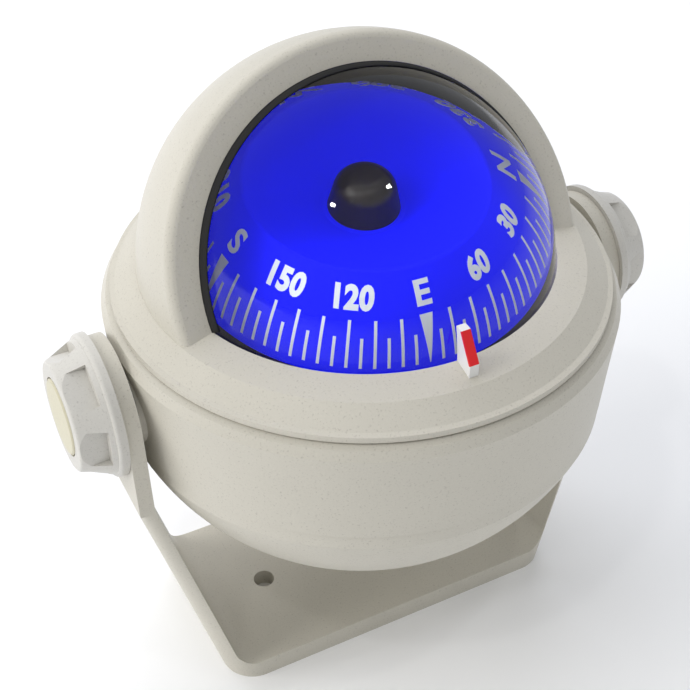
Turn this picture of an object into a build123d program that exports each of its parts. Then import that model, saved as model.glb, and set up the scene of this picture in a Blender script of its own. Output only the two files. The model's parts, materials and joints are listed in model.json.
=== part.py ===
from build123d import *
import os
from math import acos, atan2, cos, degrees, pi, radians, sin, sqrt, tan

# Bracket-mounted steering compass: a liquid-filled spherical capsule with a gimballed card, in a plastic
# housing that tilts between the arms of a screwed-down bracket.
# Millimetres. The origin is the centre of the bracket's underside; +X runs along the tilt axis, the lubber
# mark faces -Y, and +Z is up.

# ---- bracket
BASE_LENGTH = 79.2
BASE_DEPTH = 42.0
BASE_THICKNESS = 4.2
BASE_CORNER = 7.0
SCREW_SPACING = 47.2
SCREW_HOLE = 2.3
ARM_THICKNESS = 3.0
ARM_END_RADIUS = 13.0
ARM_EDGE = 2.2
BEND_HEIGHT = 53.8
ROOT_FILLET = 5.0
BEND_FILLET = 9.0
EDGE_ROUND = 0.7
STUD_HOLE_CLEARANCE = 0.3

# ---- housing, measured from the seam between bezel and body
PIVOT_HEIGHT = 70.8
SEAM_HEIGHT = 83.8
BODY_RADIUS = 50.3
BODY_FOOT_RADIUS = 49.2
BODY_RIM_RADIUS = 48.0
SHOULDER_DROP = 2.6
SKIRT_DROP = 22.5
BODY_WALL = 2.2
SEAM_GAP = 0.45
LEDGE_DEPTH = 2.0
BOWL_STEP = 0.2
BOWL_RADIUS = 51.5
BOWL_CENTRE_DROP = 9.8
BOWL_FLOOR_HEIGHT = 26.5
BOWL_WALL = 2.2
ARM_CLEARANCE = 0.6
PIVOT_BOSS_RADIUS = 9.2
FRICTION_WASHER_THICKNESS = 0.8
RUN_GAP = 0.05
SEAT_GAP = 0.05

# ---- bezel and hood
OPENING_RADIUS = 37.3
OPENING_RISE = 5.7
FACET_RADIUS = 43.1
FACET_RISE = 4.4
LIP_RADIUS = 48.3
LIP_RISE = 1.2
LIP_INNER_RADIUS = 47.3
LIP_INNER_RISE = 1.5
SPIGOT_RADIUS = 46.6
SPIGOT_INNER_RADIUS = 43.4
SPIGOT_DROP = 4.0
HOOD_RADIUS = 43.0
HOOD_INNER_RADIUS = 37.6
HOOD_LEAN = 30.4
HOOD_FRONT_REACH = 11.0
HOOD_EDGE_ROUND = 1.8

# ---- sealed capsule; heights from the centre of the dome's sphere
DOME_CENTRE_HEIGHT = 87.1
DOME_RADIUS = 37.1
DOME_WALL = 1.7
FLANGE_RADIUS = 42.2
DOME_FLANGE = 2.0
FLANGE_TOP_DROP = 1.5
GASKET_THICKNESS = 1.0
CAPSULE_FLANGE = 2.2
CAPSULE_WALL = 2.2
DIAPHRAGM_HOLE = 14.0
DIAPHRAGM_RADIUS = 18.0
DIAPHRAGM_THICKNESS = 1.0
DIAPHRAGM_BELLY = 2.2
CLAMP_RING_THICKNESS = 1.8
DIAPHRAGM_SEAT_DROP = 36.6
FILLER_ANGLE = 40.0
FILLER_BORE = 2.5
FILLER_HEAD_RADIUS = 4.0
FILLER_HEAD_HEIGHT = 1.8
FILLER_BOSS_RADIUS = 4.8
FILLER_BOSS_REACH = 40.6

# ---- gimbal, card and float
GIMBAL_DROP = 7.8
RING_RADIUS = 30.3
RING_INNER_RADIUS = 28.3
RING_HEIGHT = 2.8
GIMBAL_PIN_RADIUS = 0.8
PIN_CLEARANCE = 0.05
YOKE_ARM_THICKNESS = 1.6
YOKE_GAP = 0.3
YOKE_WIDTH = 7.0
YOKE_RISE = 1.6
YOKE_DROP = 7.0
YOKE_REACH = 29.0
POST_RADIUS = 2.2
WEIGHT_RADIUS = 13.0
WEIGHT_THICKNESS = 4.4
JEWEL_RISE = 3.0
JEWEL_RADIUS = 1.5
NEEDLE_RADIUS = 0.6
CARD_HEADING = 87.5
CARD_DIP = 5.0
CARD_MIDDLE = 9.0
CARD_MIDDLE_RADIUS = 6.0
CARD_DISH_ANGLE = 16.5
CARD_SPHERE_RADIUS = 26.8
CARD_SPHERE_DROP = 6.93
CARD_RIM_DROP = 2.6
CARD_RIDGE_ROUND = 0.7
CARD_WALL = 0.7
HUB_RADIUS = 5.2
HUB_TOP_RADIUS = 4.2
HUB_HEIGHT = 6.0
HUB_ROUND = 3.0
STEM_RADIUS = 2.0
FLOAT_RADIUS = 16.5
FLOAT_INNER_RADIUS = 4.6
FLOAT_THICKNESS = 5.0
MAGNET_RADIUS = 1.6
MAGNET_LENGTH = 24.0
MAGNET_SPACING = 15.0
HOLDER_THICKNESS = 1.2

# ---- lubber mark
FIN_WIDTH = 1.8
FIN_FOOT = 41.4
FIN_FOOT_RISE = 7.4
FIN_TOP = 37.9
FIN_TOP_RISE = 12.6
MARK_THICKNESS = 0.5

# ---- knobs; distances along the tilt axis from the bracket arm's outer face
KNOB_FLANGE_RADIUS = 14.0
KNOB_FLANGE = 2.0
KNOB_RADIUS = 13.3
KNOB_END_RADIUS = 10.6
KNOB_LENGTH = 8.3
KNOB_LOBES = 6
POCKET_WIDTH = 8.2
POCKET_FLOOR = 10.6
POCKET_STEP = 0.9
KNOB_CAP_RADIUS = 7.4
KNOB_CAP_THICKNESS = 1.4
KNOB_CAP_PROUD = 0.3
KNOB_CAP_GAP = 0.3
KNOB_ROUND = 0.8
STUD_RADIUS = 3.0
STUD_HEAD_RADIUS = 5.0
STUD_HEAD = 3.0
STUD_REACH = 9.0
INSERT_RADIUS = 4.6
INSERT_LENGTH = 6.6
KNOB_WASHER_RADIUS = 9.0
KNOB_WASHER_THICKNESS = 0.8

# ---- compensator
SPINDLE_RADIUS = 2.2
SPINDLE_HEAD_RADIUS = 3.2
UPPER_SPINDLE_HEIGHT = 39.8
LOWER_SPINDLE_HEIGHT = 33.4
SPINDLE_CLEARANCE = 0.08
HEAD_CLEARANCE = 0.3
HEAD_RECESS = 0.8
SLOT_WIDTH = 0.9
SLOT_DEPTH = 1.0
FRAME_SIDE = 15.0
FRAME_WALL = 2.4
COMP_MAGNET_RADIUS = 1.2
COMP_MAGNET_LENGTH = 3.6

# ---- fasteners
BEZEL_SCREWS = 6
CAPSULE_SCREWS = 8
DIAPHRAGM_SCREWS = 4
BOWL_SCREWS = 4
BOWL_SCREW_CIRCLE = 30.0
POST_BOSS_RADIUS = 3.4
SCREW_RADIUS = 1.25
SCREW_HEAD_RADIUS = 2.2
SCREW_HEAD = 1.5
SMALL_SCREW_RADIUS = 1.0
SMALL_SCREW_HEAD_RADIUS = 1.7
SMALL_SCREW_HEAD = 1.1
HOLE_EASE = 0.05

# ---- places worked out from the sizes
ARM_INNER = BODY_RADIUS + ARM_CLEARANCE
ARM_OUTER = ARM_INNER + ARM_THICKNESS
DOME_INNER = DOME_RADIUS - DOME_WALL
CAPSULE_OUTER = DOME_INNER + CAPSULE_WALL
DOME_FLANGE_TOP = DOME_CENTRE_HEIGHT - FLANGE_TOP_DROP
DOME_FLANGE_UNDER = DOME_FLANGE_TOP - DOME_FLANGE
CAPSULE_TOP = DOME_FLANGE_UNDER - GASKET_THICKNESS
CAPSULE_FLANGE_UNDER = CAPSULE_TOP - CAPSULE_FLANGE
GIMBAL_HEIGHT = DOME_CENTRE_HEIGHT - GIMBAL_DROP
JEWEL_HEIGHT = DOME_CENTRE_HEIGHT + JEWEL_RISE
BOWL_CENTRE = SEAM_HEIGHT - BOWL_CENTRE_DROP
BODY_FOOT = SEAM_HEIGHT - SKIRT_DROP
SPIGOT_FOOT = SEAM_HEIGHT - SPIGOT_DROP
LEDGE_TOP = SPIGOT_FOOT - SEAT_GAP
BOSS_FACE = ARM_INNER - RUN_GAP - FRICTION_WASHER_THICKNESS


def disc(radius, low, high, x=0.0, y=0.0):
    """An upright cylinder between two heights."""
    return Pos(x, y, low) * Cylinder(radius, high - low, align=(Align.CENTER, Align.CENTER, Align.MIN))


def ring(outer, inner, low, high):
    """An upright tube between two heights."""
    return disc(outer, low, high) - disc(inner, low, high)


def ball(radius, height):
    """A sphere centred on the upright axis."""
    return Pos(0, 0, height) * Sphere(radius)


def turned(points):
    """A solid turned about Z from a closed outline of (radius, height) points."""
    return revolve(make_face(Polyline(*[(r, 0, z) for r, z in points], close=True)), Axis.Z)


def around(count, radius, start=0.0):
    """Points spaced evenly on a circle."""
    steps = [radians(start + 360 * i / count) for i in range(count)]
    return [(radius * cos(a), radius * sin(a)) for a in steps]


def outward(shape, side):
    """Lays an upright shape along the tilt axis, its height running away from the middle plane."""
    return Pos(0, 0, PIVOT_HEIGHT) * Rot(0, 90 * side, 0) * shape


def group(shapes):
    """Several separate solids in one node."""
    return Part() + list(shapes)


def screw(radius, head_radius, head, x, y, seat, tip):
    """A pan-head screw driven upwards: its head hangs below the seat and its shank ends at the tip."""
    slot = Pos(x, y, seat - head) * Box(2 * head_radius, SLOT_WIDTH / 1.5, head, align=(Align.CENTER,) * 3)
    return disc(head_radius, seat - head, seat, x, y) + disc(radius, seat, tip, x, y) - slot


# ---- bracket
def bracket():
    flare = (ARM_OUTER - BASE_LENGTH / 2) / BEND_HEIGHT
    inner_bend = BEND_HEIGHT + ARM_THICKNESS * tan(atan2(flare, 1) / 2)
    inner_root = ARM_INNER - flare * (inner_bend - BASE_THICKNESS)
    top = PIVOT_HEIGHT + ARM_END_RADIUS
    half = [(BASE_LENGTH / 2, 0), (ARM_OUTER, BEND_HEIGHT), (ARM_OUTER, top), (ARM_INNER, top)]
    half += [(ARM_INNER, inner_bend), (inner_root, BASE_THICKNESS)]
    outline = half + [(-x, z) for x, z in reversed(half)]
    band = Plane.XZ * make_face(Polyline(*outline, close=True))
    band = extrude(band, BASE_DEPTH / 2, both=True)
    roots = [e for e in band.edges() if abs(e.center().Z - BASE_THICKNESS) < 0.01 and abs(e.center().Y) < 0.01]
    band = fillet(roots, ROOT_FILLET)
    bends = [e for e in band.edges() if BEND_HEIGHT - 1 < e.center().Z < BEND_HEIGHT + 1
             and abs(e.center().Y) < 0.01]
    band = fillet(bends, BEND_FILLET)
    reach = sqrt((BASE_DEPTH / 2) ** 2 + PIVOT_HEIGHT ** 2)
    touch = atan2(-PIVOT_HEIGHT, BASE_DEPTH / 2) + acos(ARM_END_RADIUS / reach)
    touch_y = ARM_END_RADIUS * cos(touch)
    touch_z = PIVOT_HEIGHT + ARM_END_RADIUS * sin(touch)
    side = make_face(Polyline((-BASE_DEPTH / 2, 0), (BASE_DEPTH / 2, 0), (touch_y, touch_z),
                              (-touch_y, touch_z), close=True))
    side = side + Pos(0, PIVOT_HEIGHT) * Circle(ARM_END_RADIUS)
    blades = extrude(Plane.YZ * side, ARM_OUTER + 1, both=True)
    bend_depth = BASE_DEPTH - 2 * (BASE_DEPTH / 2 - touch_y) * BEND_HEIGHT / touch_z
    floor = RectangleRounded(BASE_LENGTH, BASE_DEPTH, BASE_CORNER)
    waist = Pos(0, 0, BEND_HEIGHT) * RectangleRounded(2 * ARM_OUTER, bend_depth, ARM_EDGE)
    lower = loft([floor.face(), waist.face()], ruled=True)
    upper = Pos(0, 0, BEND_HEIGHT) * Box(2 * ARM_OUTER, BASE_DEPTH, top - BEND_HEIGHT,
                                         align=(Align.CENTER, Align.CENTER, Align.MIN))
    body = (band & blades) & (lower + upper)
    for x in (-SCREW_SPACING / 2, SCREW_SPACING / 2):
        body -= disc(SCREW_HOLE, 0, BASE_THICKNESS, x)
    return body - outward(disc(STUD_RADIUS + STUD_HOLE_CLEARANCE, -ARM_OUTER - 1, ARM_OUTER + 1), 1)


# ---- housing shells
def bowl_wall_height(radius, wall=0.0):
    """The height of the lower bowl's surface, or its inside at a wall's depth, at a distance from the axis."""
    return BOWL_CENTRE - sqrt((BOWL_RADIUS - wall) ** 2 - radius ** 2)


def body_shell():
    rim = SEAM_HEIGHT - SEAM_GAP
    inside = BODY_FOOT_RADIUS - BODY_WALL
    shell = turned([(inside, rim), (BODY_RIM_RADIUS, rim), (BODY_RIM_RADIUS + 1.3, rim - 0.5),
                    (BODY_RADIUS, SEAM_HEIGHT - SHOULDER_DROP), (BODY_FOOT_RADIUS, BODY_FOOT),
                    (inside, BODY_FOOT), (inside, LEDGE_TOP - LEDGE_DEPTH),
                    (SPIGOT_INNER_RADIUS, LEDGE_TOP - LEDGE_DEPTH), (SPIGOT_INNER_RADIUS, LEDGE_TOP),
                    (inside, LEDGE_TOP)])
    for side in (-1, 1):
        boss = outward(disc(PIVOT_BOSS_RADIUS, inside + 0.5, BOSS_FACE), side)
        hub = outward(disc(INSERT_RADIUS + BODY_WALL, BOSS_FACE - INSERT_LENGTH, BOSS_FACE), side)
        shell = shell + boss + hub
        shell -= outward(disc(PIVOT_BOSS_RADIUS + 0.3, BOSS_FACE, ARM_OUTER), side)
        shell -= outward(disc(INSERT_RADIUS, BOSS_FACE - INSERT_LENGTH, BOSS_FACE + 1), side)
    for x, y in around(BEZEL_SCREWS, (SPIGOT_RADIUS + SPIGOT_INNER_RADIUS) / 2, 30):
        shell -= disc(SCREW_RADIUS + HOLE_EASE, LEDGE_TOP - LEDGE_DEPTH, LEDGE_TOP, x, y)
    return shell


def lower_bowl():
    top = BODY_FOOT - BOWL_STEP
    spigot_top = BODY_FOOT + 2.5
    inside = BODY_FOOT_RADIUS - BODY_WALL
    shell = ball(BOWL_RADIUS, BOWL_CENTRE) - ball(BOWL_RADIUS - BOWL_WALL, BOWL_CENTRE)
    shell &= disc(BOWL_RADIUS, BOWL_FLOOR_HEIGHT, top)
    shell &= disc(BODY_FOOT_RADIUS - BOWL_STEP, BOWL_FLOOR_HEIGHT, top)
    shell += ball(BOWL_RADIUS, BOWL_CENTRE) & disc(BOWL_RADIUS, BOWL_FLOOR_HEIGHT, BOWL_FLOOR_HEIGHT + BOWL_WALL)
    shell += ring(inside - SEAT_GAP, inside - SEAT_GAP - 1.6, top - 6.0, spigot_top)
    seat = bowl_wall_height(BOWL_SCREW_CIRCLE) + BOWL_WALL + SCREW_HEAD
    for x, y in around(BOWL_SCREWS, BOWL_SCREW_CIRCLE, 45):
        post = disc(POST_BOSS_RADIUS, BOWL_FLOOR_HEIGHT, bowl_post_top(), x, y)
        shell += post & ball(BOWL_RADIUS - BOWL_WALL / 2, BOWL_CENTRE)
        shell -= disc(SCREW_HEAD_RADIUS + HEAD_CLEARANCE, 0, seat, x, y)
        shell -= disc(SCREW_RADIUS + HOLE_EASE, 0, bowl_post_top() + 1, x, y)
    for axis_height, turn in ((UPPER_SPINDLE_HEIGHT, 90), (LOWER_SPINDLE_HEIGHT, 0)):
        shell -= Rot(0, 0, turn) * Pos(0, 0, axis_height) * Rot(0, 90, 0) * disc(
            SPINDLE_HEAD_RADIUS + HEAD_CLEARANCE, FRAME_SIDE / 2 + 1, BOWL_RADIUS)
    for x, y in frame_screw_places():
        shell -= disc(SMALL_SCREW_RADIUS + HOLE_EASE, BOWL_FLOOR_HEIGHT, BOWL_FLOOR_HEIGHT + BOWL_WALL, x, y)
        shell -= disc(SMALL_SCREW_HEAD_RADIUS + HEAD_CLEARANCE, BOWL_FLOOR_HEIGHT,
                      BOWL_FLOOR_HEIGHT + SMALL_SCREW_HEAD, x, y)
    return shell


def bowl_post_top():
    """Where the bowl's screw posts meet the capsule's."""
    return (bowl_wall_height(BOWL_SCREW_CIRCLE) + DOME_CENTRE_HEIGHT
            - sqrt(CAPSULE_OUTER ** 2 - BOWL_SCREW_CIRCLE ** 2)) / 2


def bezel_hood():
    base = SEAM_HEIGHT
    bezel = turned([(OPENING_RADIUS, base + OPENING_RISE), (FACET_RADIUS, base + FACET_RISE),
                    (LIP_INNER_RADIUS, base + LIP_INNER_RISE), (LIP_RADIUS, base + LIP_RISE),
                    (LIP_RADIUS, base), (SPIGOT_RADIUS, base), (SPIGOT_RADIUS, SPIGOT_FOOT),
                    (SPIGOT_INNER_RADIUS, SPIGOT_FOOT), (SPIGOT_INNER_RADIUS, DOME_FLANGE_TOP + SEAT_GAP),
                    (OPENING_RADIUS, DOME_FLANGE_TOP + SEAT_GAP)])
    shell = ball(HOOD_RADIUS, DOME_CENTRE_HEIGHT)
    behind = Box(200, 200, 200, align=(Align.CENTER, Align.MIN, Align.CENTER))
    cut = Pos(0, 0, DOME_CENTRE_HEIGHT) * Rot(-HOOD_LEAN, 0, 0) * Pos(0, -HOOD_FRONT_REACH, 0) * behind
    shell = shell & cut
    front = shell.edges().filter_by(GeomType.CIRCLE)
    shell = fillet(front, HOOD_EDGE_ROUND)
    shell -= ball(HOOD_INNER_RADIUS, DOME_CENTRE_HEIGHT)
    shell -= disc(200, 0, DOME_CENTRE_HEIGHT)
    hood = bezel + shell
    for x, y in around(BEZEL_SCREWS, (SPIGOT_RADIUS + SPIGOT_INNER_RADIUS) / 2, 30):
        hood -= disc(SCREW_RADIUS, SPIGOT_FOOT - 1, SEAM_HEIGHT, x, y)
    for x, y in capsule_screw_places():
        hood -= disc(SCREW_RADIUS, DOME_FLANGE_TOP, capsule_screw_tip(), x, y)
    return hood


def body_seal():
    """The dark seal in the groove between bezel and body."""
    return ring(LIP_RADIUS - 0.7, SPIGOT_RADIUS + HOLE_EASE, SEAM_HEIGHT - SEAM_GAP, SEAM_HEIGHT)


# ---- lubber mark
def fin_outline(inset):
    """The lubber fin seen from the side, its sloping front moved in by an inset."""
    base = SEAM_HEIGHT
    rise = FIN_TOP_RISE - FIN_FOOT_RISE
    run = FIN_FOOT - FIN_TOP
    length = sqrt(rise ** 2 + run ** 2)
    shift = (inset * rise / length, -inset * run / length)
    foot = (-FIN_FOOT + shift[0], base + FIN_FOOT_RISE + shift[1])
    tip = (-FIN_TOP + shift[0], base + FIN_TOP_RISE + shift[1])
    return foot, tip


def lubber_fin(bezel):
    foot, tip = fin_outline(0)
    outline = [(-FIN_FOOT, SEAM_HEIGHT + 3), foot, tip, (-DOME_INNER, tip[1]), (-DOME_INNER, SEAM_HEIGHT + 3)]
    fin = extrude(Plane.YZ * make_face(Polyline(*outline, close=True)), FIN_WIDTH / 2, both=True)
    return fin - ball(OPENING_RADIUS + HOLE_EASE, DOME_CENTRE_HEIGHT) - bezel - lubber_mark()


def lubber_mark():
    foot, tip = fin_outline(0)
    inner_foot, inner_tip = fin_outline(MARK_THICKNESS)
    face = make_face(Polyline(foot, tip, inner_tip, inner_foot, close=True))
    return extrude(Plane.YZ * face, FIN_WIDTH / 2, both=True)


# ---- sealed capsule
def dome():
    cover = ball(DOME_RADIUS, DOME_CENTRE_HEIGHT)
    cover &= disc(DOME_RADIUS, DOME_FLANGE_UNDER, DOME_CENTRE_HEIGHT + DOME_RADIUS)
    cover += disc(FLANGE_RADIUS, DOME_FLANGE_UNDER, DOME_FLANGE_TOP)
    cover -= ball(DOME_INNER, DOME_CENTRE_HEIGHT)
    for x, y in capsule_screw_places():
        cover -= disc(SCREW_RADIUS + HOLE_EASE, DOME_FLANGE_UNDER, DOME_FLANGE_TOP, x, y)
    return cover


def dome_gasket():
    seal = ring(FLANGE_RADIUS, CAPSULE_OUTER, CAPSULE_TOP, DOME_FLANGE_UNDER)
    for x, y in capsule_screw_places():
        seal -= disc(SCREW_RADIUS + HOLE_EASE, CAPSULE_TOP, DOME_FLANGE_UNDER, x, y)
    return seal


def capsule_bowl():
    seat = DOME_CENTRE_HEIGHT - DIAPHRAGM_SEAT_DROP
    bowl = ball(CAPSULE_OUTER, DOME_CENTRE_HEIGHT) & disc(CAPSULE_OUTER, seat - 5, CAPSULE_TOP)
    bowl += disc(FLANGE_RADIUS, CAPSULE_FLANGE_UNDER, CAPSULE_TOP)
    bowl += disc(DIAPHRAGM_RADIUS, seat, seat + 6)
    bowl -= disc(DIAPHRAGM_RADIUS, seat - 6, seat)
    bowl += radial(disc(FILLER_BOSS_RADIUS, DOME_INNER + 0.5, FILLER_BOSS_REACH))
    for x, y in around(BOWL_SCREWS, BOWL_SCREW_CIRCLE, 45):
        bowl += disc(POST_BOSS_RADIUS, bowl_post_top() + SEAT_GAP, DOME_CENTRE_HEIGHT - 18, x, y)
    bowl -= ball(DOME_INNER, DOME_CENTRE_HEIGHT)
    bowl -= disc(DIAPHRAGM_HOLE, seat - 1, DOME_CENTRE_HEIGHT - 20)
    bowl -= radial(disc(FILLER_BORE, 30, FILLER_BOSS_REACH + 1))
    for x, y in capsule_screw_places():
        bowl -= disc(SCREW_RADIUS + HOLE_EASE, CAPSULE_FLANGE_UNDER, CAPSULE_TOP, x, y)
    for x, y in around(BOWL_SCREWS, BOWL_SCREW_CIRCLE, 45):
        bowl -= disc(SCREW_RADIUS, 0, bowl_post_top() + 6, x, y)
    for x, y in diaphragm_screw_places():
        bowl -= disc(SMALL_SCREW_RADIUS, 0, seat + 3.5, x, y)
    pins = Pos(0, 0, GIMBAL_HEIGHT) * Rot(0, 90, 0) * disc(GIMBAL_PIN_RADIUS, -pin_end(), pin_end())
    return bowl - pins


def radial(shape):
    """Turns an upright shape about the dome's centre to point backwards and down."""
    return Pos(0, 0, DOME_CENTRE_HEIGHT) * Rot(-90 - FILLER_ANGLE, 0, 0) * shape


def pin_end():
    return DOME_INNER + CAPSULE_WALL * 0.5


def capsule_screw_places():
    return around(CAPSULE_SCREWS, (FLANGE_RADIUS + CAPSULE_OUTER + 0.6) / 2, 180 / CAPSULE_SCREWS)


def capsule_screw_tip():
    return SEAM_HEIGHT + FACET_RISE - 0.6


def diaphragm_screw_places():
    return around(DIAPHRAGM_SCREWS, (DIAPHRAGM_HOLE + DIAPHRAGM_RADIUS) / 2, 0)


def diaphragm():
    """A thin rubber cover whose middle bellies up as the liquid shrinks or swells."""
    seat = DOME_CENTRE_HEIGHT - DIAPHRAGM_SEAT_DROP
    low = seat - DIAPHRAGM_THICKNESS
    rubber = turned([(0, low + DIAPHRAGM_BELLY), (6, low + DIAPHRAGM_BELLY), (10, low), (DIAPHRAGM_RADIUS, low),
                     (DIAPHRAGM_RADIUS, seat), (10.4, seat), (6.4, seat + DIAPHRAGM_BELLY),
                     (0, seat + DIAPHRAGM_BELLY)])
    for x, y in diaphragm_screw_places():
        rubber -= disc(SMALL_SCREW_RADIUS + HOLE_EASE, low, seat, x, y)
    return rubber


def diaphragm_ring():
    top = DOME_CENTRE_HEIGHT - DIAPHRAGM_SEAT_DROP - DIAPHRAGM_THICKNESS
    clamp = ring(DIAPHRAGM_RADIUS, DIAPHRAGM_HOLE - 1, top - CLAMP_RING_THICKNESS, top)
    for x, y in diaphragm_screw_places():
        clamp -= disc(SMALL_SCREW_RADIUS + HOLE_EASE, top - CLAMP_RING_THICKNESS, top, x, y)
    return clamp


def filler_plug():
    seat = FILLER_BOSS_REACH + 0.5
    plug = disc(FILLER_HEAD_RADIUS, seat, seat + FILLER_HEAD_HEIGHT)
    plug += disc(FILLER_BORE - HOLE_EASE, DOME_INNER + 0.4, seat)
    slot = Pos(0, 0, seat + FILLER_HEAD_HEIGHT) * Box(2 * FILLER_HEAD_RADIUS, SLOT_WIDTH, 2 * SLOT_DEPTH)
    return radial(plug - slot)


def filler_seal():
    return radial(ring(FILLER_HEAD_RADIUS - 0.3, FILLER_BORE, FILLER_BOSS_REACH, FILLER_BOSS_REACH + 0.5))


# ---- gimbal
def gimbal_pins():
    """Two fixed pins in the capsule wall that carry the gimbal ring."""
    pins = []
    for side in (-1, 1):
        pin = Rot(0, 90 * side, 0) * disc(GIMBAL_PIN_RADIUS, RING_INNER_RADIUS + 0.3, pin_end())
        pins.append(Pos(0, 0, GIMBAL_HEIGHT) * pin)
    return group(pins)


def gimbal_ring():
    low = GIMBAL_HEIGHT - RING_HEIGHT / 2
    hoop = ring(RING_RADIUS, RING_INNER_RADIUS, low, low + RING_HEIGHT)
    bore = disc(GIMBAL_PIN_RADIUS + PIN_CLEARANCE, -RING_RADIUS - 1, RING_RADIUS + 1)
    hoop -= Pos(0, 0, GIMBAL_HEIGHT) * Rot(0, 90, 0) * bore
    return hoop - Pos(0, 0, GIMBAL_HEIGHT) * Rot(90, 0, 0) * bore


def yoke_arm_outer():
    return RING_INNER_RADIUS - YOKE_GAP


def gimbal_yoke():
    reach = yoke_arm_outer()
    bar_low = GIMBAL_HEIGHT - YOKE_DROP - YOKE_ARM_THICKNESS
    top = GIMBAL_HEIGHT + YOKE_RISE
    floor = (Align.CENTER, Align.CENTER, Align.MIN)
    block = Pos(0, 0, bar_low) * Box(YOKE_WIDTH, 2 * reach, top - bar_low, align=floor)
    hollow = Pos(0, 0, bar_low + YOKE_ARM_THICKNESS) * Box(
        YOKE_WIDTH, 2 * (reach - YOKE_ARM_THICKNESS), top, align=floor)
    yoke = block - hollow
    yoke &= disc(reach, bar_low, top)
    yoke &= ball(YOKE_REACH, GIMBAL_HEIGHT)
    yoke += disc(POST_RADIUS, bar_low, post_top())
    yoke -= disc(NEEDLE_RADIUS, post_top() - 4, post_top())
    bore = disc(GIMBAL_PIN_RADIUS, -reach - 1, reach + 1)
    return yoke - Pos(0, 0, GIMBAL_HEIGHT) * Rot(90, 0, 0) * bore


def post_top():
    return JEWEL_HEIGHT - 5.0


def yoke_pins():
    """Two pins in the yoke's arms that turn in the gimbal ring."""
    pins = []
    for side in (-1, 1):
        pin = Rot(90 * side, 0, 0) * disc(GIMBAL_PIN_RADIUS, yoke_arm_outer() - YOKE_ARM_THICKNESS,
                                          RING_RADIUS - 0.3)
        pins.append(Pos(0, 0, GIMBAL_HEIGHT) * pin)
    return group(pins)


def pivot_needle():
    tip = JEWEL_HEIGHT - SEAT_GAP
    shank = disc(NEEDLE_RADIUS, post_top() - 4, tip - 1.6)
    point = Pos(0, 0, tip - 1.6) * Cone(NEEDLE_RADIUS, 0.1, 1.6, align=(Align.CENTER, Align.CENTER, Align.MIN))
    return shank + point


def counterweight():
    top = GIMBAL_HEIGHT - YOKE_DROP - YOKE_ARM_THICKNESS
    weight = disc(WEIGHT_RADIUS, top - WEIGHT_THICKNESS, top)
    return chamfer(weight.edges().group_by(Axis.Z)[0], 1.2)


# ---- card
def dipped(shape):
    """Leans a level card piece forwards on its jewel by the card's dip."""
    return Pos(0, 0, JEWEL_HEIGHT) * Rot(CARD_DIP, 0, 0) * Pos(0, 0, -JEWEL_HEIGHT) * shape


def card_dish(radius, inset=0.0):
    """The height of the card's shallow dish, or of its underside at an inset."""
    rise = max(radius - CARD_MIDDLE_RADIUS, 0) * tan(radians(CARD_DISH_ANGLE))
    return DOME_CENTRE_HEIGHT + CARD_MIDDLE + rise - inset


def card_solid(inset):
    """The space under the card's dished top and round side, or under its inner surface at an inset."""
    sphere = Pos(0, 0, DOME_CENTRE_HEIGHT - CARD_SPHERE_DROP) * Sphere(CARD_SPHERE_RADIUS - inset)
    reach = CARD_SPHERE_RADIUS + 1
    low = DOME_CENTRE_HEIGHT - CARD_RIM_DROP - inset
    middle = (CARD_MIDDLE_RADIUS, card_dish(CARD_MIDDLE_RADIUS, inset))
    under = turned([(0, low), (reach, low), (reach, card_dish(reach, inset)), middle, (0, middle[1])])
    solid = sphere & under
    ridge = solid.edges().group_by(Axis.Z)[-1]
    return fillet(ridge, CARD_RIDGE_ROUND - inset / 2)


def compass_card():
    card = card_solid(0) - card_solid(CARD_WALL)
    card -= disc(STEM_RADIUS, 0, DOME_CENTRE_HEIGHT + CARD_MIDDLE + 1)
    return dipped(card)


def card_underside():
    return card_dish(0, CARD_WALL)


def card_hub():
    """The dark cone above the card, with the stem below it that holds the jewel."""
    base = card_dish(0)
    cone = Pos(0, 0, base) * Cone(HUB_RADIUS, HUB_TOP_RADIUS, HUB_HEIGHT,
                                  align=(Align.CENTER, Align.CENTER, Align.MIN))
    cone = fillet(cone.edges().group_by(Axis.Z)[-1], HUB_ROUND)
    stem = disc(STEM_RADIUS - HOLE_EASE, JEWEL_HEIGHT + 1.0, base)
    return dipped(cone + stem - disc(JEWEL_RADIUS, JEWEL_HEIGHT, JEWEL_HEIGHT + 2.4))


def jewel():
    """The hard cup that turns on the needle's point."""
    cup = disc(JEWEL_RADIUS, JEWEL_HEIGHT - 0.6, JEWEL_HEIGHT + 2.4)
    pit = Pos(0, 0, JEWEL_HEIGHT - 0.6) * Cone(1.1, 0.12, 0.6, align=(Align.CENTER, Align.CENTER, Align.MIN))
    return dipped(cup - pit)


def card_float():
    """The buoyant ring under the card's dish that takes most of its weight off the needle."""
    low = card_underside() - FLOAT_THICKNESS
    foam = turned([(FLOAT_INNER_RADIUS, low), (FLOAT_RADIUS, low), (FLOAT_RADIUS, card_dish(FLOAT_RADIUS, CARD_WALL)),
                   (CARD_MIDDLE_RADIUS, card_underside()), (FLOAT_INNER_RADIUS, card_underside())])
    return dipped(foam)


def magnet_holder():
    top = card_underside() - FLOAT_THICKNESS
    plate = ring(FLOAT_RADIUS - 1, FLOAT_INNER_RADIUS, top - HOLDER_THICKNESS, top)
    return dipped(plate)


def card_magnets():
    """Two bar magnets under the holder, parallel to the card's north line."""
    height = card_underside() - FLOAT_THICKNESS - HOLDER_THICKNESS - MAGNET_RADIUS
    north = Rot(0, 0, CARD_HEADING)
    bars = []
    for side in (-1, 1):
        bar = Box(2 * MAGNET_RADIUS, MAGNET_LENGTH, 2 * MAGNET_RADIUS)
        bars.append(dipped(north * Pos(side * MAGNET_SPACING / 2, 0, height) * bar))
    return group(bars)


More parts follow.
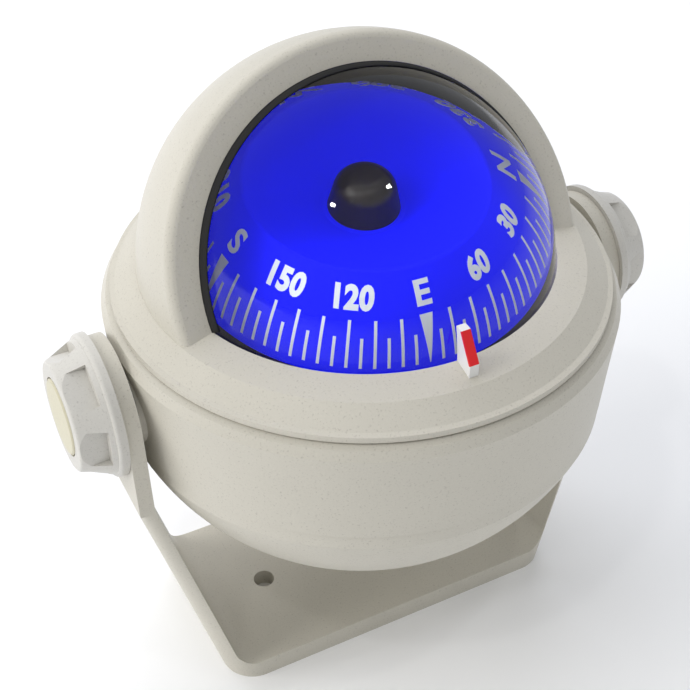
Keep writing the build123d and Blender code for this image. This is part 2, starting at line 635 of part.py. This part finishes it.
# ---- knobs
def knob(side):
    start = ARM_OUTER + RUN_GAP
    shoulder = start + KNOB_FLANGE
    end = ARM_OUTER + KNOB_LENGTH
    flange = disc(KNOB_FLANGE_RADIUS, start, shoulder)
    flange = fillet(flange.edges().group_by(Axis.Z)[-1], KNOB_ROUND)
    head = Pos(0, 0, shoulder) * Cone(KNOB_RADIUS, KNOB_END_RADIUS, end - shoulder,
                                      align=(Align.CENTER, Align.CENTER, Align.MIN))
    head = fillet(head.edges().group_by(Axis.Z)[-1], KNOB_ROUND)
    for i in range(KNOB_LOBES):
        block = Pos(POCKET_FLOOR, 0, shoulder + POCKET_STEP) * Box(
            10, POCKET_WIDTH, KNOB_LENGTH, align=(Align.MIN, Align.CENTER, Align.MIN))
        head -= Rot(0, 0, 360 * (i + 0.5) / KNOB_LOBES) * block
    body = flange + head
    body -= disc(KNOB_CAP_RADIUS + KNOB_CAP_GAP, end + KNOB_CAP_PROUD - KNOB_CAP_THICKNESS, end + 1)
    body -= disc(KNOB_WASHER_RADIUS + KNOB_CAP_GAP, start, start + KNOB_WASHER_THICKNESS)
    body -= disc(STUD_RADIUS, start - 1, end)
    body -= disc(STUD_HEAD_RADIUS, stud_head_low(), end)
    return outward(body, side)


def stud_head_low():
    return ARM_OUTER + KNOB_LENGTH + KNOB_CAP_PROUD - KNOB_CAP_THICKNESS - STUD_HEAD


def knob_cap(side):
    top = ARM_OUTER + KNOB_LENGTH + KNOB_CAP_PROUD
    cap = disc(KNOB_CAP_RADIUS, top - KNOB_CAP_THICKNESS, top)
    return outward(chamfer(cap.edges().group_by(Axis.Z)[-1], 0.3), side)


def clamp_stud(side):
    """The threaded stud moulded into a knob, which screws into the housing's insert."""
    low = stud_head_low()
    stud = disc(STUD_HEAD_RADIUS, low, low + STUD_HEAD) + disc(STUD_RADIUS, ARM_OUTER - STUD_REACH, low)
    return outward(chamfer(stud.edges().group_by(Axis.Z)[0], 0.6), side)


def knob_washer(side):
    start = ARM_OUTER + RUN_GAP
    return outward(ring(KNOB_WASHER_RADIUS, STUD_RADIUS + HOLE_EASE, start, start + KNOB_WASHER_THICKNESS
                        - SEAT_GAP), side)


def friction_washer(side):
    return outward(ring(PIVOT_BOSS_RADIUS, STUD_RADIUS + STUD_HOLE_CLEARANCE, BOSS_FACE,
                        BOSS_FACE + FRICTION_WASHER_THICKNESS), side)


def threaded_insert(side):
    return outward(ring(INSERT_RADIUS, STUD_RADIUS + HOLE_EASE, BOSS_FACE - INSERT_LENGTH, BOSS_FACE), side)


# ---- compensator
def frame_screw_places():
    return [(x * FRAME_SIDE * 0.36, y * FRAME_SIDE * 0.36) for x in (-1, 1) for y in (-1, 1)]


def along_x(shape, height):
    """Lays an upright shape along +X at a height."""
    return Pos(0, 0, height) * Rot(0, 90, 0) * shape


def along_y(shape, height):
    """Lays an upright shape along +Y at a height."""
    return Pos(0, 0, height) * Rot(-90, 0, 0) * shape


def compensator_frame():
    low = BOWL_FLOOR_HEIGHT + BOWL_WALL
    high = UPPER_SPINDLE_HEIGHT + SPINDLE_RADIUS + 1.6
    frame = Pos(0, 0, low) * Box(FRAME_SIDE, FRAME_SIDE, high - low, align=(Align.CENTER, Align.CENTER, Align.MIN))
    room = FRAME_SIDE - 2 * FRAME_WALL
    for height in (LOWER_SPINDLE_HEIGHT, UPPER_SPINDLE_HEIGHT):
        frame -= Pos(0, 0, height) * Box(room, room, 2 * (SPINDLE_RADIUS + 0.8))
    bore = disc(SPINDLE_RADIUS + SPINDLE_CLEARANCE, -FRAME_SIDE, FRAME_SIDE)
    frame -= along_x(bore, LOWER_SPINDLE_HEIGHT)
    frame -= along_y(bore, UPPER_SPINDLE_HEIGHT)
    for x, y in frame_screw_places():
        frame -= disc(SMALL_SCREW_RADIUS, 0, low + 2.0, x, y)
    return frame


def spindle(height):
    """An upright spindle: journals in the frame, a slotted head that ends in the bowl's wall, magnet holes."""
    reach = sqrt(BOWL_RADIUS ** 2 - (BOWL_CENTRE - height) ** 2) - HEAD_RECESS - 1.2
    shaft = disc(SPINDLE_RADIUS, -FRAME_SIDE / 2, reach - 3)
    head = disc(SPINDLE_HEAD_RADIUS, reach - 3, reach)
    head -= Pos(0, 0, reach) * Box(SLOT_WIDTH, 2 * SPINDLE_HEAD_RADIUS, 2 * SLOT_DEPTH)
    shaft += head
    return shaft - spindle_magnet()


def spindle_magnet():
    """A small magnet set across the middle of a spindle."""
    return Rot(0, 90, 0) * Pos(0, 0, -COMP_MAGNET_LENGTH / 2) * disc(COMP_MAGNET_RADIUS, 0, COMP_MAGNET_LENGTH)


# ---- fasteners
def bezel_screws():
    seat = LEDGE_TOP - LEDGE_DEPTH
    places = around(BEZEL_SCREWS, (SPIGOT_RADIUS + SPIGOT_INNER_RADIUS) / 2, 30)
    return group(screw(SCREW_RADIUS - HOLE_EASE / 2, SCREW_HEAD_RADIUS - 0.7, SCREW_HEAD, x, y, seat,
                       SEAM_HEIGHT - 0.6) for x, y in places)


def capsule_screws():
    return group(screw(SCREW_RADIUS - HOLE_EASE / 2, SCREW_HEAD_RADIUS - 0.4, SCREW_HEAD, x, y,
                       CAPSULE_FLANGE_UNDER, capsule_screw_tip() - 0.4) for x, y in capsule_screw_places())


def diaphragm_screws():
    seat = DOME_CENTRE_HEIGHT - DIAPHRAGM_SEAT_DROP - DIAPHRAGM_THICKNESS - CLAMP_RING_THICKNESS
    return group(screw(SMALL_SCREW_RADIUS - HOLE_EASE / 2, SMALL_SCREW_HEAD_RADIUS, SMALL_SCREW_HEAD, x, y, seat,
                       seat + CLAMP_RING_THICKNESS + DIAPHRAGM_THICKNESS + 3.2)
                 for x, y in diaphragm_screw_places())


def bowl_screws():
    seat = bowl_wall_height(BOWL_SCREW_CIRCLE) + BOWL_WALL + SCREW_HEAD
    return group(screw(SCREW_RADIUS - HOLE_EASE / 2, SCREW_HEAD_RADIUS, SCREW_HEAD, x, y, seat,
                       bowl_post_top() + 5.5) for x, y in around(BOWL_SCREWS, BOWL_SCREW_CIRCLE, 45))


def frame_screws():
    seat = BOWL_FLOOR_HEIGHT + SMALL_SCREW_HEAD
    return group(screw(SMALL_SCREW_RADIUS - HOLE_EASE / 2, SMALL_SCREW_HEAD_RADIUS, SMALL_SCREW_HEAD, x, y, seat,
                       BOWL_FLOOR_HEIGHT + BOWL_WALL + 1.8) for x, y in frame_screw_places())


# ---- all the nodes
bezel = bezel_hood()
nodes = {
    "bracket": bracket(),
    "body_shell": body_shell(),
    "lower_bowl": lower_bowl(),
    "bezel_hood": bezel,
    "body_seal": body_seal(),
    "lubber_fin": lubber_fin(bezel),
    "lubber_mark": lubber_mark(),
    "dome": dome(),
    "dome_gasket": dome_gasket(),
    "capsule_bowl": capsule_bowl(),
    "diaphragm": diaphragm(),
    "diaphragm_ring": diaphragm_ring(),
    "filler_plug": filler_plug(),
    "filler_seal": filler_seal(),
    "gimbal_pins": gimbal_pins(),
    "gimbal_ring": gimbal_ring(),
    "gimbal_yoke": gimbal_yoke(),
    "yoke_pins": yoke_pins(),
    "pivot_needle": pivot_needle(),
    "counterweight": counterweight(),
    "compass_card": compass_card(),
    "card_hub": card_hub(),
    "jewel": jewel(),
    "card_float": card_float(),
    "magnet_holder": magnet_holder(),
    "card_magnets": card_magnets(),
    "compensator_frame": compensator_frame(),
    "athwart_spindle": along_x(spindle(LOWER_SPINDLE_HEIGHT), LOWER_SPINDLE_HEIGHT),
    "athwart_magnet": along_x(spindle_magnet(), LOWER_SPINDLE_HEIGHT),
    "fore_aft_spindle": along_y(spindle(UPPER_SPINDLE_HEIGHT), UPPER_SPINDLE_HEIGHT),
    "fore_aft_magnet": along_y(spindle_magnet(), UPPER_SPINDLE_HEIGHT),
    "bezel_screws": bezel_screws(),
    "capsule_screws": capsule_screws(),
    "diaphragm_screws": diaphragm_screws(),
    "bowl_screws": bowl_screws(),
    "frame_screws": frame_screws(),
}
for name, side in (("left", -1), ("right", 1)):
    nodes[name + "_knob"] = knob(side)
    nodes[name + "_knob_cap"] = knob_cap(side)
    nodes[name + "_clamp_stud"] = clamp_stud(side)
    nodes[name + "_knob_washer"] = knob_washer(side)
    nodes[name + "_friction_washer"] = friction_washer(side)
    nodes[name + "_threaded_insert"] = threaded_insert(side)

os.makedirs("parts", exist_ok=True)
for name, shape in nodes.items():
    shape.label = name
    export_step(shape, "parts/" + name + ".step")
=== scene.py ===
import json
from math import radians

import bpy
import numpy as np
from mathutils import Matrix, Vector


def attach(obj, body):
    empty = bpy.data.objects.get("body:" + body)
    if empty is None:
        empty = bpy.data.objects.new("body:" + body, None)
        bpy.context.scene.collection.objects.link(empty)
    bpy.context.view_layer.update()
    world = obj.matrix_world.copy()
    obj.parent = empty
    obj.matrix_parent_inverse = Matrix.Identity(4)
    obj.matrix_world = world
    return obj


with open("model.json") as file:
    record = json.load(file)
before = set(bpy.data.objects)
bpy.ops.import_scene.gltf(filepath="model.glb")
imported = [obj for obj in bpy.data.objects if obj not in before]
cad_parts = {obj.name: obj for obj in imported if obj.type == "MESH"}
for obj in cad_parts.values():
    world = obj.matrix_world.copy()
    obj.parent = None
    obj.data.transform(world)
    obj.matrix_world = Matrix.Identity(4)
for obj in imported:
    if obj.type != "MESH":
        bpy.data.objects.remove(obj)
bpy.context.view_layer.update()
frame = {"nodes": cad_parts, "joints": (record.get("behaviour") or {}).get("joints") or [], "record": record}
MM = 0.001

# ---- sizes repeated from the CAD model, in millimetres
DOME_CENTRE = 87.1
DOME_RADIUS = 37.1
DOME_INNER = 35.4
CLEAR_INDEX = 1.41
CARD_SPHERE_RADIUS = 26.8
CARD_SPHERE_DROP = 6.93
FRONT_BEARING = 87.5

# ---- the printed card
TICK_FOOT = 36.2
LONG_TICK_TOP = 28.1
SHORT_TICK_TOP = 31.0
TICK_WIDTH = 0.50
ARROW_TOP = 27.9
ARROW_WIDTH = 2.2
ARROW_TIP = 0.12
LABEL_TOP = 22.4
LABEL_FOOT = 26.6
NUMBER_NARROWING = 0.84
NUMBER_WEIGHT = 0.05
LETTER_WEIGHT = 0.03
PRINT_THICKNESS = 0.08


# ---- camera
def camera_matrix(azimuth, elevation, roll, place):
    """Turns a camera by azimuth about Z, lowers it by its elevation, rolls it, and puts it at its place."""
    turn = Matrix.Rotation(radians(azimuth), 4, "Z") @ Matrix.Rotation(radians(90 - elevation), 4, "X")
    return Matrix.Translation(place) @ turn @ Matrix.Rotation(radians(roll), 4, "Z")


camera_data = bpy.data.cameras.new("camera")
camera_data.lens = 69.85
camera_data.sensor_width = 36
camera_data.shift_x = -0.0003
camera_data.shift_y = -0.003
camera_data.clip_start = 0.01
camera = bpy.data.objects.new("camera", camera_data)
camera.matrix_world = camera_matrix(-27.44, 40.15, 0.45, Vector((-98.5, -183.3, 240.5)) * MM)
bpy.context.collection.objects.link(camera)
bpy.context.scene.camera = camera


# ---- shader maths
class Wire:
    """A node's output, with arithmetic that adds Math nodes."""

    def __init__(self, finish, socket):
        self.finish = finish
        self.socket = socket

    def _sum(self, operation, *terms):
        return self.finish.node("ShaderNodeMath", {"operation": operation}, *terms)

    def __add__(self, other):
        return self._sum("ADD", self, other)

    def __radd__(self, other):
        return self._sum("ADD", other, self)

    def __sub__(self, other):
        return self._sum("SUBTRACT", self, other)

    def __rsub__(self, other):
        return self._sum("SUBTRACT", other, self)

    def __mul__(self, other):
        return self._sum("MULTIPLY", self, other)

    def __rmul__(self, other):
        return self._sum("MULTIPLY", other, self)

    def __gt__(self, other):
        return self._sum("GREATER_THAN", self, other)

    def __lt__(self, other):
        return self._sum("LESS_THAN", self, other)

    def at_least(self, other):
        return self._sum("MAXIMUM", self, other)


class Finish:
    """A procedural material: node() adds any node, and paint() adds the main shader."""

    def __init__(self, name):
        self.material = bpy.data.materials.new(name)
        self.material.use_nodes = True
        self.tree = self.material.node_tree
        self.tree.nodes.clear()
        self.output = self.tree.nodes.new("ShaderNodeOutputMaterial")

    def node(self, kind, settings=None, *values, out=0, at=None, **named):
        """Adds a node, sets its properties, then links or sets its sockets by order, by number or by name."""
        made = self.tree.nodes.new(kind)
        for key, value in (settings or {}).items():
            if key == "stops":
                ramp = made.color_ramp
                while len(ramp.elements) < len(value):
                    ramp.elements.new(0.5)
                for element, (place, colour) in zip(ramp.elements, value):
                    element.position = place
                    element.color = (*colour, 1)
            else:
                setattr(made, key, value)
        for key, value in [*enumerate(values), *(at or {}).items(), *named.items()]:
            socket = made.inputs[key if isinstance(key, int) else key.replace("_", " ")]
            if isinstance(value, Wire):
                self.tree.links.new(value.socket, socket)
            else:
                socket.default_value = value
        return Wire(self, made.outputs[out])

    def place(self):
        return self.node("ShaderNodeTexCoord", out="Object")

    def noise(self, scale, detail=2.0, roughness=0.5):
        return self.node("ShaderNodeTexNoise", None, Vector=self.place(), Scale=scale, Detail=detail,
                         Roughness=roughness)

    def blend(self, factor, first, second, mode="MIX"):
        """Mixes two colours."""
        return self.node("ShaderNodeMix", {"data_type": "RGBA", "blend_type": mode}, factor, out=2,
                         at={6: colour(first), 7: colour(second)})

    def bump(self, height, strength, distance):
        return self.node("ShaderNodeBump", None, Strength=strength, Distance=distance, Height=height)

    def paint(self, **sockets):
        shader = self.node("ShaderNodeBsdfPrincipled", None, **sockets)
        self.finish(shader)
        return shader

    def finish(self, shader):
        self.tree.links.new(shader.socket, self.output.inputs["Surface"])


def colour(value):
    """A colour with its alpha, or a wire left as it is."""
    return value if isinstance(value, Wire) else (*value, 1)


# ---- finishes
def moulded_plastic(name, base, speck, roughness=0.42):
    """Satin moulded plastic: faint broad mottling, fine dark and light specks and a fine moulded grain."""
    f = Finish(name)
    broad = f.noise(60, 3)
    fine = f.noise(2600, 2, 0.6)
    dark = f.node("ShaderNodeMapRange", None, fine, 0.60, 0.72, 0.0, 1.0)
    light = f.node("ShaderNodeMapRange", None, fine, 0.40, 0.30, 0.0, 1.0)
    tone = f.blend(broad, [c * 0.96 for c in base], [min(1, c * 1.03) for c in base])
    tone = f.blend(dark * 0.5, tone, speck)
    tone = f.blend(light * 0.35, tone, [min(1, c * 1.12) for c in base])
    grain = f.noise(1500, 3, 0.6)
    f.paint(Base_Color=tone, Roughness=roughness + (broad - 0.5) * 0.12, Normal=f.bump(grain, 0.12, 0.0003),
            Specular_IOR_Level=0.45)
    return f.material


def plain_plastic(name, base, roughness, grain_strength=0.08):
    """Plain coloured plastic or rubber with a fine grain and slightly uneven gloss."""
    f = Finish(name)
    broad = f.noise(90, 3)
    tone = f.blend(broad, [c * 0.88 for c in base], [min(1, c * 1.1 + 0.002) for c in base])
    f.paint(Base_Color=tone, Roughness=roughness + (broad - 0.5) * 0.15,
            Normal=f.bump(f.noise(1800, 3), grain_strength, 0.0002))
    return f.material


def turned_metal(name, base, roughness):
    """Turned metal with fine tool lines and a little dulling."""
    f = Finish(name)
    lines = f.node("ShaderNodeTexWave", {"bands_direction": "Z"}, Vector=f.place(), Scale=900.0, Distortion=1.5)
    broad = f.noise(140, 3)
    tone = f.blend(broad, [c * 0.85 for c in base], base)
    f.paint(Base_Color=tone, Metallic=1.0, Roughness=roughness + broad * 0.12, Normal=f.bump(lines, 0.05, 0.0001))
    return f.material


def clear_dome():
    """Clear acrylic filled with clear liquid of nearly the same index: only the outer surface bends light, the
    inner surface passes it straight on, and light from the lamps reaches the card through both."""
    f = Finish("clear acrylic and liquid")
    centre = f.node("ShaderNodeVectorMath", {"operation": "SUBTRACT"}, f.place(), (0, 0, DOME_CENTRE * MM))
    reach = f.node("ShaderNodeVectorMath", {"operation": "LENGTH"}, centre, out="Value")
    inner = reach < (DOME_RADIUS + DOME_INNER) / 2 * MM
    shadow = f.node("ShaderNodeLightPath", None, out="Is Shadow Ray")
    glass = f.node("ShaderNodeBsdfPrincipled", None, Base_Color=(1, 1, 1, 1), Roughness=0.0, IOR=CLEAR_INDEX,
                   Transmission_Weight=1.0)
    through = f.node("ShaderNodeBsdfTransparent", None, (1, 1, 1, 1))
    f.finish(f.node("ShaderNodeMixShader", None, inner.at_least(shadow), glass, through))
    return f.material


def card_paint_with_painted_glow():
    """Deep saturated blue printed card with a faint sheen and a painted glow: a weak blue emission makes it
    brighter than the lamps alone light it.
    """
    f = Finish("card blue with painted glow")
    tone = f.blend(f.noise(120, 2), (0.002, 0.004, 0.80), (0.003, 0.006, 0.95))
    # Painted light: the blue emission makes the card glow although it is no lamp.
    f.paint(Base_Color=tone, Roughness=0.6, Specular_IOR_Level=0.1, Emission_Color=(0.0, 0.004, 0.9, 1),
            Emission_Strength=0.35)
    return f.material


IVORY = moulded_plastic("ivory plastic", (0.60, 0.57, 0.49), (0.34, 0.31, 0.26))
KNOB_IVORY = moulded_plastic("knob plastic", (0.62, 0.60, 0.55), (0.38, 0.36, 0.32))
CAP_IVORY = moulded_plastic("cap plastic", (0.62, 0.58, 0.42), (0.38, 0.36, 0.26))
BLACK_PLASTIC = plain_plastic("black plastic", (0.012, 0.012, 0.013), 0.45)
HUB_BLACK = plain_plastic("hub black", (0.012, 0.008, 0.008), 0.35)
RUBBER = plain_plastic("black rubber", (0.015, 0.015, 0.015), 0.75, 0.2)
WASHER = plain_plastic("washer plastic", (0.08, 0.08, 0.08), 0.4)
HOLDER = plain_plastic("holder plastic", (0.10, 0.10, 0.12), 0.5)
FOAM = plain_plastic("float foam", (0.75, 0.75, 0.72), 0.8, 0.4)
FIN_WHITE = plain_plastic("fin white", (0.82, 0.81, 0.78), 0.35)
MARK_RED = plain_plastic("mark red", (0.80, 0.008, 0.012), 0.35)
BRASS = turned_metal("brass", (0.72, 0.50, 0.20), 0.28)
STEEL = turned_metal("stainless steel", (0.62, 0.62, 0.63), 0.30)
MAGNET = turned_metal("magnet metal", (0.16, 0.16, 0.17), 0.5)
STONE = plain_plastic("jewel stone", (0.45, 0.06, 0.12), 0.1)
CLEAR = clear_dome()
CARD_BLUE_AND_PAINTED_GLOW = card_paint_with_painted_glow()
PRINT_WHITE = plain_plastic("print white", (0.80, 0.86, 0.95), 0.5, 0.02)

FINISHES = {
    "bracket_plastic": IVORY, "housing_plastic": IVORY, "knob_plastic": KNOB_IVORY, "cap_plastic": CAP_IVORY,
    "seal_rubber": RUBBER, "washer_plastic": WASHER, "clear_acrylic": CLEAR, "fin_white": FIN_WHITE,
    "mark_red": MARK_RED, "capsule_black": BLACK_PLASTIC, "card_blue": CARD_BLUE_AND_PAINTED_GLOW, "hub_black": HUB_BLACK,
    "float_foam": FOAM, "holder_plastic": HOLDER, "brass_parts": BRASS, "steel_parts": STEEL,
    "magnet_metal": MAGNET, "jewel_stone": STONE,
}
for part in frame["record"]["subparts"]:
    for slot in frame["nodes"][part["node"]].material_slots:
        slot.material = FINISHES[part["material_slot"]]


# ---- mesh making
def mesh_object(name, points, faces, material, smooth=False):
    """An object at the origin from arrays of points in millimetres and faces."""
    mesh = bpy.data.meshes.new(name)
    mesh.from_pydata((np.asarray(points) * MM).tolist(), [], [list(map(int, face)) for face in faces])
    mesh.materials.append(material)
    mesh.polygons.foreach_set("use_smooth", np.full(len(mesh.polygons), smooth))
    mesh.update()
    made = bpy.data.objects.new(name, mesh)
    bpy.context.collection.objects.link(made)
    return made


# ---- printed marks on the card
def card_surface(along):
    """Radius, height and slope of the card's spherical side at a distance along it from the sphere's top."""
    slope = along / CARD_SPHERE_RADIUS
    radius = CARD_SPHERE_RADIUS * np.sin(slope)
    height = CARD_SPHERE_RADIUS * np.cos(slope) - CARD_SPHERE_DROP
    return radius, height, slope


def dip_matrix():
    """The turn that takes the upright axis to the card's own axis, about the jewel."""
    joint = next(j for j in frame["joints"] if j["name"] == "card_turn")
    turn = Vector((0, 0, 1)).rotation_difference(Vector(joint["axis"])).to_matrix()
    return np.array(turn), np.array(joint["pos_m"]) / MM


def on_card(bearing, across, along):
    """Places flat drawing points on the card: across is measured to the reader's right at a bearing, along is
    measured down the side from the sphere's top."""
    radius, height, slope = card_surface(along)
    angle = radians(bearing - FRONT_BEARING) - across / radius
    lift = PRINT_THICKNESS * 0.5
    radius = radius + lift * np.sin(slope)
    height = height + lift * np.cos(slope)
    level = np.stack([-np.sin(angle) * radius, -np.cos(angle) * radius, height + DOME_CENTRE], axis=1)
    turn, jewel = dip_matrix()
    return (level - jewel) @ turn.T + jewel


def strip(foot, top, foot_width, top_width, steps=14):
    """Flat triangles of a straight mark that runs along the surface from its top to its foot."""
    run = np.linspace(top, foot, steps + 1)
    half = np.interp(run, [top, foot], [top_width / 2, foot_width / 2])
    left = np.stack([-half, run], axis=1)
    right = np.stack([half, run], axis=1)
    first = np.stack([left[:-1], left[1:], right[1:]], axis=1)
    second = np.stack([left[:-1], right[1:], right[:-1]], axis=1)
    return np.concatenate([first, second])


def halved(triangles):
    """Cuts each triangle into four at the middles of its sides."""
    a, b, c = triangles[:, 0], triangles[:, 1], triangles[:, 2]
    ab, bc, ca = (a + b) / 2, (b + c) / 2, (c + a) / 2
    parts = [np.stack(t, axis=1) for t in ((a, ab, ca), (ab, b, bc), (ca, bc, c), (ab, bc, ca))]
    return np.concatenate(parts)


def lettering(text, height, weight):
    """Flat triangles of a word or number, centred across, standing on zero, with thickened strokes."""
    curve = bpy.data.curves.new(text, "FONT")
    curve.body = text
    curve.align_x = "CENTER"
    curve.resolution_u = 4
    curve.offset = weight
    curve.fill_mode = "BOTH"
    curve.space_character = 1.06
    holder = bpy.data.objects.new(text, curve)
    bpy.context.collection.objects.link(holder)
    bpy.context.view_layer.update()
    mesh = bpy.data.meshes.new_from_object(holder.evaluated_get(bpy.context.evaluated_depsgraph_get()))
    mesh.calc_loop_triangles()
    places = np.empty(len(mesh.vertices) * 3)
    mesh.vertices.foreach_get("co", places)
    corners = np.empty(len(mesh.loop_triangles) * 3, dtype=int)
    mesh.loop_triangles.foreach_get("vertices", corners)
    flat = places.reshape(-1, 3)[:, :2]
    flat = (flat - [0, flat[:, 1].min()]) * height / (flat[:, 1].max() - flat[:, 1].min())
    triangles = flat[corners].reshape(-1, 3, 2)
    bpy.data.objects.remove(holder)
    return halved(halved(triangles))


def joined(pieces):
    """One mesh's points and faces from flat triangles at several bearings, with shared corners merged."""
    points, faces, start = [], [], 0
    for bearing, triangles in pieces:
        flat = triangles.reshape(-1, 2)
        unique, index = np.unique(np.round(flat, 4), axis=0, return_inverse=True)
        placed = on_card(bearing, unique[:, 0], unique[:, 1])
        corners = index.reshape(-1, 3)
        corners = corners[(corners != np.roll(corners, 1, axis=1)).all(axis=1)]
        a, b, c = (unique[corners[:, k]] for k in range(3))
        turned_over = (b[:, 0] - a[:, 0]) * (c[:, 1] - a[:, 1]) - (b[:, 1] - a[:, 1]) * (c[:, 0] - a[:, 0]) > 0
        corners[turned_over] = corners[turned_over][:, ::-1]
        points.append(placed)
        faces.append(corners + start)
        start += len(unique)
    return np.concatenate(points), np.concatenate(faces)


LABELS = {0: "N", 30: "30", 60: "60", 90: "E", 120: "120", 150: "150", 180: "S", 210: "210", 240: "240",
          270: "W", 300: "300", 330: "330"}


def printed_marks():
    """All the card's marks: a tick every five degrees, arrows at the four main bearings, and the labels."""
    pieces = []
    for bearing in range(0, 360, 5):
        if bearing % 90 == 0:
            pieces.append((bearing, strip(TICK_FOOT, ARROW_TOP, ARROW_TIP, ARROW_WIDTH)))
        else:
            top = SHORT_TICK_TOP if bearing % 10 else LONG_TICK_TOP
            pieces.append((bearing, strip(TICK_FOOT, top, TICK_WIDTH, TICK_WIDTH)))
    for bearing, text in LABELS.items():
        weight = LETTER_WEIGHT if text.isalpha() else NUMBER_WEIGHT
        letters = lettering(text, LABEL_FOOT - LABEL_TOP, weight)
        letters[:, :, 0] *= 1 if text.isalpha() else NUMBER_NARROWING
        letters[:, :, 1] = LABEL_FOOT - letters[:, :, 1]
        pieces.append((bearing, letters))
    return joined(pieces)


marks = mesh_object("card_marks", *printed_marks(), PRINT_WHITE)
ink = marks.modifiers.new("ink", "SOLIDIFY")
ink.thickness = PRINT_THICKNESS * MM
ink.offset = -1
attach(marks, "card")


# ---- the black bead that seals the hood's front edge to the dome
HOOD_LEAN = radians(30.4)
HOOD_FRONT_REACH = 11.0
BEAD_SWEEP = radians(96)
BEAD_SECTION = [(-0.1, 37.12), (-0.1, 37.55), (1.1, 37.52), (1.5, 37.35), (1.6, 37.12)]


def sealing_bead(steps=96):
    """A small section carried round the axis that the hood's front edge lies square to: each corner is a distance
    in front of that edge and a distance from the dome's centre, and the sweep ends at the bezel."""
    forward = np.array([0, -np.cos(HOOD_LEAN), np.sin(HOOD_LEAN)])
    upward = np.array([0, np.sin(HOOD_LEAN), np.cos(HOOD_LEAN)])
    turn = np.linspace(-BEAD_SWEEP, BEAD_SWEEP, steps + 1)[:, None, None]
    ahead = np.array([HOOD_FRONT_REACH + a for a, _ in BEAD_SECTION])
    out = np.sqrt(np.array([r for _, r in BEAD_SECTION]) ** 2 - ahead ** 2)[None, :, None]
    across = out * (np.sin(turn) * np.array([1.0, 0, 0]) + np.cos(turn) * upward)
    points = across + ahead[None, :, None] * forward + np.array([0, 0, DOME_CENTRE])
    n = len(BEAD_SECTION)
    ring = np.arange(steps)[:, None] * n
    here, beside = np.arange(n)[None], (np.arange(n)[None] + 1) % n
    sides = np.stack([ring + here, ring + beside, ring + n + beside, ring + n + here], axis=2).reshape(-1, 4)
    ends = [list(range(n))[::-1], list(range(steps * n, steps * n + n))]
    return points.reshape(-1, 3), sides.tolist() + ends


points, faces = sealing_bead()
bead = mesh_object("hood_seal_bead", points, faces, RUBBER, smooth=True)
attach(bead, "housing")


# ---- floor and light
def floor_finish():
    f = Finish("pale floor")
    f.paint(Base_Color=f.blend(f.noise(3, 2), (0.95, 0.95, 0.95), (0.97, 0.97, 0.97)), Roughness=0.9)
    return f.material


FLOOR_REACH = 3000
FLOOR_CORNERS = [(-1, -1, 0), (1, -1, 0), (1, 1, 0), (-1, 1, 0)]
floor = mesh_object("floor", FLOOR_REACH * np.array(FLOOR_CORNERS), [(0, 1, 2, 3)], floor_finish())

world = bpy.data.worlds.new("studio")
bpy.context.scene.world = world
world.use_nodes = True
world.node_tree.nodes["Background"].inputs["Color"].default_value = (0.95, 0.97, 1.0, 1)
world.node_tree.nodes["Background"].inputs["Strength"].default_value = 0.5
bpy.context.scene.view_settings.view_transform = "Standard"


def softbox(name, place, target, size, power, tint=(1, 1, 1), seen=False):
    """A rectangular studio light at a place in metres, facing a target; a seen one shows as a glint on gloss."""
    lamp_data = bpy.data.lights.new(name, "AREA")
    lamp_data.shape = "RECTANGLE"
    lamp_data.size, lamp_data.size_y = size
    lamp_data.energy = power
    lamp_data.color = tint
    lamp = bpy.data.objects.new(name, lamp_data)
    away = Vector(place) - Vector(target)
    lamp.matrix_world = Matrix.Translation(place) @ away.to_track_quat("Z", "Y").to_matrix().to_4x4()
    lamp.visible_glossy = seen
    bpy.context.collection.objects.link(lamp)


MIDDLE = (0, 0, 0.08)
softbox("overhead", (0.1, 0.9, 1.1), MIDDLE, (1.8, 1.0), 12, (0.90, 0.92, 1.0))
softbox("left window", (-1.3, 0.2, 0.9), MIDDLE, (0.9, 0.9), 12, (1.0, 0.99, 0.97))
softbox("near lamp", (-0.45, -0.25, 1.0), MIDDLE, (0.05, 0.04), 0.5, seen=True)
softbox("far lamp", (0.1, -0.35, 1.1), MIDDLE, (0.05, 0.04), 0.5, seen=True)
